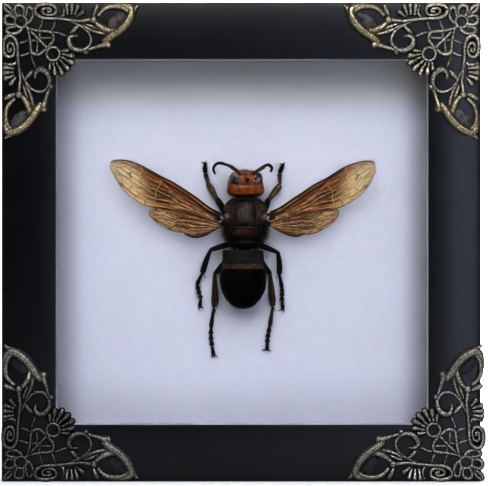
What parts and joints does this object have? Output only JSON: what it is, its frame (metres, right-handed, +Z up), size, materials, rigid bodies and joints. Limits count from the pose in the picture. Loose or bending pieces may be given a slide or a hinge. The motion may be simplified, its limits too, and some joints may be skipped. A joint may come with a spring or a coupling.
{
  "type": "framed hornet",
  "caption": "Dried giant hornet with spread wings, fixed on a pale card in a glazed square shadow box, with pierced bronze filigree castings on the corners.",
  "frame": {"origin": "middle of the underside of the bottom rail, on which the frame stands", "axes": "+X to the right as seen from the front, +Z up, the glazed front faces -Y"},
  "size_m": [0.151, 0.0344, 0.15],
  "materials": {
    "black_wood": "satin black paint over fine-grained wood",
    "clear_glass": "clear polished glass",
    "pale_card": "matt off-white card",
    "brown_board": "bare pressed-fibre board",
    "zinc_steel": "zinc-plated",
    "aged_bronze": "antique bronze, bright on the raised edges",
    "head_shell": "satin orange-brown shell",
    "dark_shell": "satin black-brown shell",
    "leg_shell": "satin dark brown shell",
    "wing_membrane": "amber see-through membrane with darker veins"
  },
  "bodies": {
    "root": {"rail_top": "black_wood", "rail_bottom": "black_wood", "rail_left": "black_wood", "rail_right": "black_wood", "glass_pane": "clear_glass", "liner_top": "pale_card", "liner_bottom": "pale_card", "liner_left": "pale_card", "liner_right": "pale_card", "backing_board": "pale_card", "back_panel": "brown_board", "turn_button_top": "zinc_steel", "turn_button_bottom": "zinc_steel", "turn_button_left": "zinc_steel", "turn_button_right": "zinc_steel", "turn_button_screw_top": "zinc_steel", "turn_button_screw_bottom": "zinc_steel", "turn_button_screw_left": "zinc_steel", "turn_button_screw_right": "zinc_steel", "hanger_strip": "zinc_steel", "hanger_nail_left": "zinc_steel", "hanger_nail_right": "zinc_steel", "corner_top_left": "aged_bronze", "corner_top_right": "aged_bronze", "corner_bottom_left": "aged_bronze", "corner_bottom_right": "aged_bronze", "head": "head_shell", "thorax": "dark_shell", "abdomen": "dark_shell", "antenna_left": "dark_shell", "antenna_right": "dark_shell", "forewing_left": "wing_membrane", "forewing_right": "wing_membrane", "hindwing_left": "wing_membrane", "hindwing_right": "wing_membrane", "foreleg_left": "leg_shell", "foreleg_right": "leg_shell", "midleg_left": "leg_shell", "midleg_right": "leg_shell", "hindleg_left": "leg_shell", "hindleg_right": "leg_shell"}
  },
  "joints": []
}
